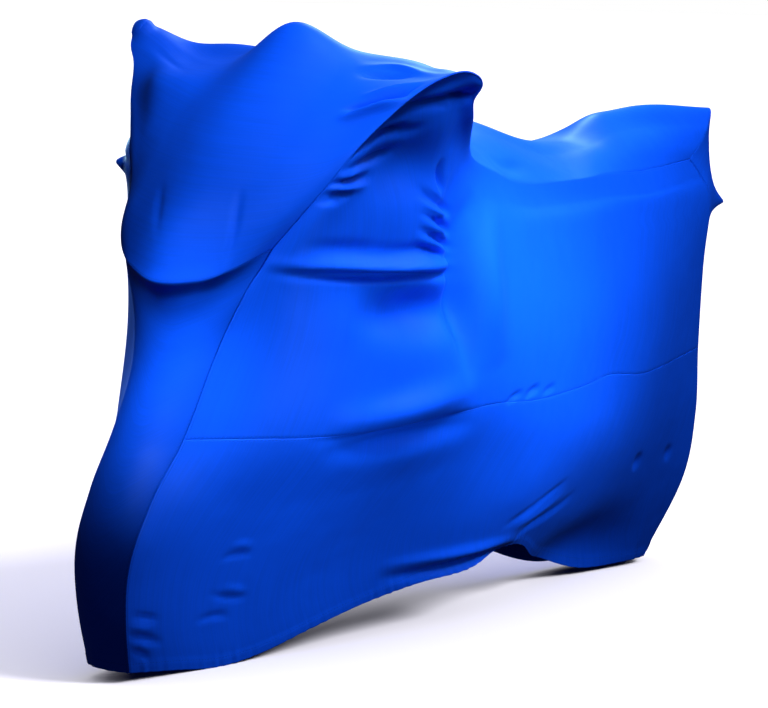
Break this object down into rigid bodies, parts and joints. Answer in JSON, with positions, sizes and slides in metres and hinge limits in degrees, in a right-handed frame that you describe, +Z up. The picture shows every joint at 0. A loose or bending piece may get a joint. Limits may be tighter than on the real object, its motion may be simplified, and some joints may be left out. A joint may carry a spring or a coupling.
{
  "type": "motorcycle cover",
  "caption": "Fitted stretch cloth cover for a motorcycle, drawn over screen, mirrors, seat and wheels down to an elastic hem.",
  "frame": {"origin": "bottom centre of the cover's box as it hangs, level with the lowest point of the hem", "axes": "+X along the machine from front to rear, -Y toward its left side, +Z up"},
  "size_m": [2.1324, 0.8954, 1.3078],
  "materials": {
    "top_panel_cloth": "satin",
    "front_strip_cloth": "satin",
    "rear_strip_cloth": "satin",
    "upper_side_left_cloth": "satin",
    "upper_side_right_cloth": "satin",
    "lower_side_left_cloth": "satin",
    "lower_side_right_cloth": "satin"
  },
  "bodies": {
    "root": {"top_panel": "top_panel_cloth", "front_strip": "front_strip_cloth", "rear_strip": "rear_strip_cloth", "upper_side_left": "upper_side_left_cloth", "upper_side_right": "upper_side_right_cloth", "lower_side_left": "lower_side_left_cloth", "lower_side_right": "lower_side_right_cloth"}
  },
  "joints": []
}
